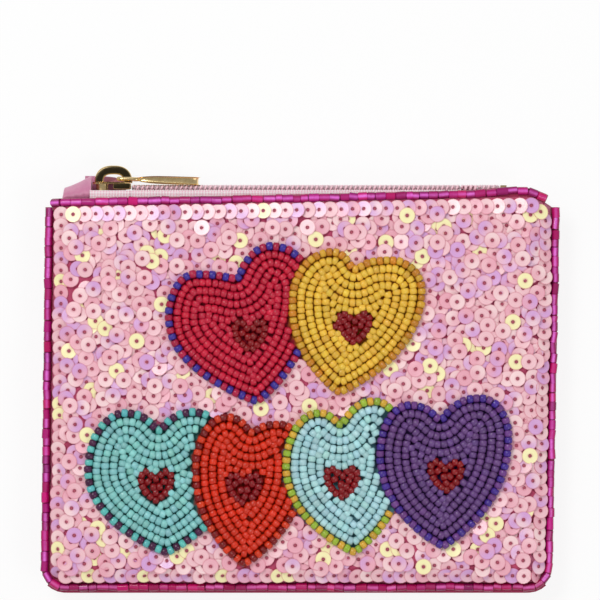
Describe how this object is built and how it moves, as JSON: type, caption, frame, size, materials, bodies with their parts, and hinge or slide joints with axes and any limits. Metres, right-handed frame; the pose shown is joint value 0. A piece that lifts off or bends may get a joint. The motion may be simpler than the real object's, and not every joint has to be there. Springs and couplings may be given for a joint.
{
  "type": "coin purse",
  "caption": "Small lined cloth coin purse with a sequin front, beaded hearts, a tube-bead edge and a coil zip with a hinged pull.",
  "frame": {"origin": "Under the middle of the purse's outline, on the surface that it lies on.", "axes": "+X runs along the width, to the right as the front is looked at; +Y runs up the front, towards the zip; +Z is the way that the front faces."},
  "size_m": [0.1294, 0.1058, 0.0142],
  "materials": {
    "pink_cloth": "woven, matte",
    "pink_lining": "woven, smooth",
    "pink_sequin": "pearly, iridescent",
    "crimson_glass": "glossy seed beads",
    "crimson_outline_glass": "glossy seed beads",
    "yellow_glass": "glossy seed beads",
    "yellow_outline_glass": "glossy seed beads",
    "turquoise_glass": "glossy seed beads",
    "turquoise_outline_glass": "glossy seed beads",
    "orange_glass": "glossy seed beads",
    "orange_outline_glass": "glossy seed beads",
    "pale_blue_glass": "glossy seed beads",
    "pale_blue_outline_glass": "glossy seed beads",
    "purple_glass": "glossy seed beads",
    "purple_outline_glass": "glossy seed beads",
    "magenta_glass": "clear glossy tube beads",
    "pink_tape": "woven, matte",
    "pink_coil": "smooth nylon",
    "pink_satin": "satin",
    "gold_metal": "polished, gold coloured"
  },
  "bodies": {
    "pouch": {"front_panel": "pink_cloth", "back_panel": "pink_cloth", "front_lining": "pink_lining", "back_lining": "pink_lining", "sequin_field": "pink_sequin", "crimson_heart_beads": "crimson_glass", "crimson_heart_outline": "crimson_outline_glass", "yellow_heart_beads": "yellow_glass", "yellow_heart_outline": "yellow_outline_glass", "turquoise_heart_beads": "turquoise_glass", "turquoise_heart_outline": "turquoise_outline_glass", "orange_heart_beads": "orange_glass", "orange_heart_outline": "orange_outline_glass", "pale_blue_heart_beads": "pale_blue_glass", "pale_blue_heart_outline": "pale_blue_outline_glass", "purple_heart_beads": "purple_glass", "purple_heart_outline": "purple_outline_glass", "top_edge_beads": "magenta_glass", "left_edge_beads": "magenta_glass", "right_edge_beads": "magenta_glass", "bottom_edge_beads": "magenta_glass", "front_tape_hem": "pink_tape", "back_tape_hem": "pink_tape", "closed_coil_end": "pink_coil", "bottom_stop": "gold_metal", "zip_tab": "pink_satin"},
    "front_flap": {"front_tape_flap": "pink_tape", "front_coil": "pink_coil"},
    "back_flap": {"back_tape_flap": "pink_tape", "back_coil": "pink_coil"},
    "slider": {"zip_slider": "gold_metal"},
    "pull": {"pull_tab": "gold_metal"}
  },
  "joints": [
    {"name": "zip_slide", "type": "slide", "parent": "pouch", "child": "slider", "axis": [1, 0, 0], "range_m": [0, 0.0914], "deforming": ["front_coil", "back_coil"]},
    {"name": "pull_swing", "type": "hinge", "parent": "slider", "child": "pull", "pos_m": [-0.0451, 0.0502, 0.006], "axis": [0, 0, 1], "range_deg": [0, 130]},
    {"name": "front_tape_fold", "type": "hinge", "parent": "pouch", "child": "front_flap", "pos_m": [0, 0.0471, 0.01005], "axis": [-1, 0, 0], "range_deg": [0, 90]},
    {"name": "back_tape_fold", "type": "hinge", "parent": "pouch", "child": "back_flap", "pos_m": [0, 0.0471, 0.00195], "axis": [1, 0, 0], "range_deg": [0, 90]}
  ]
}
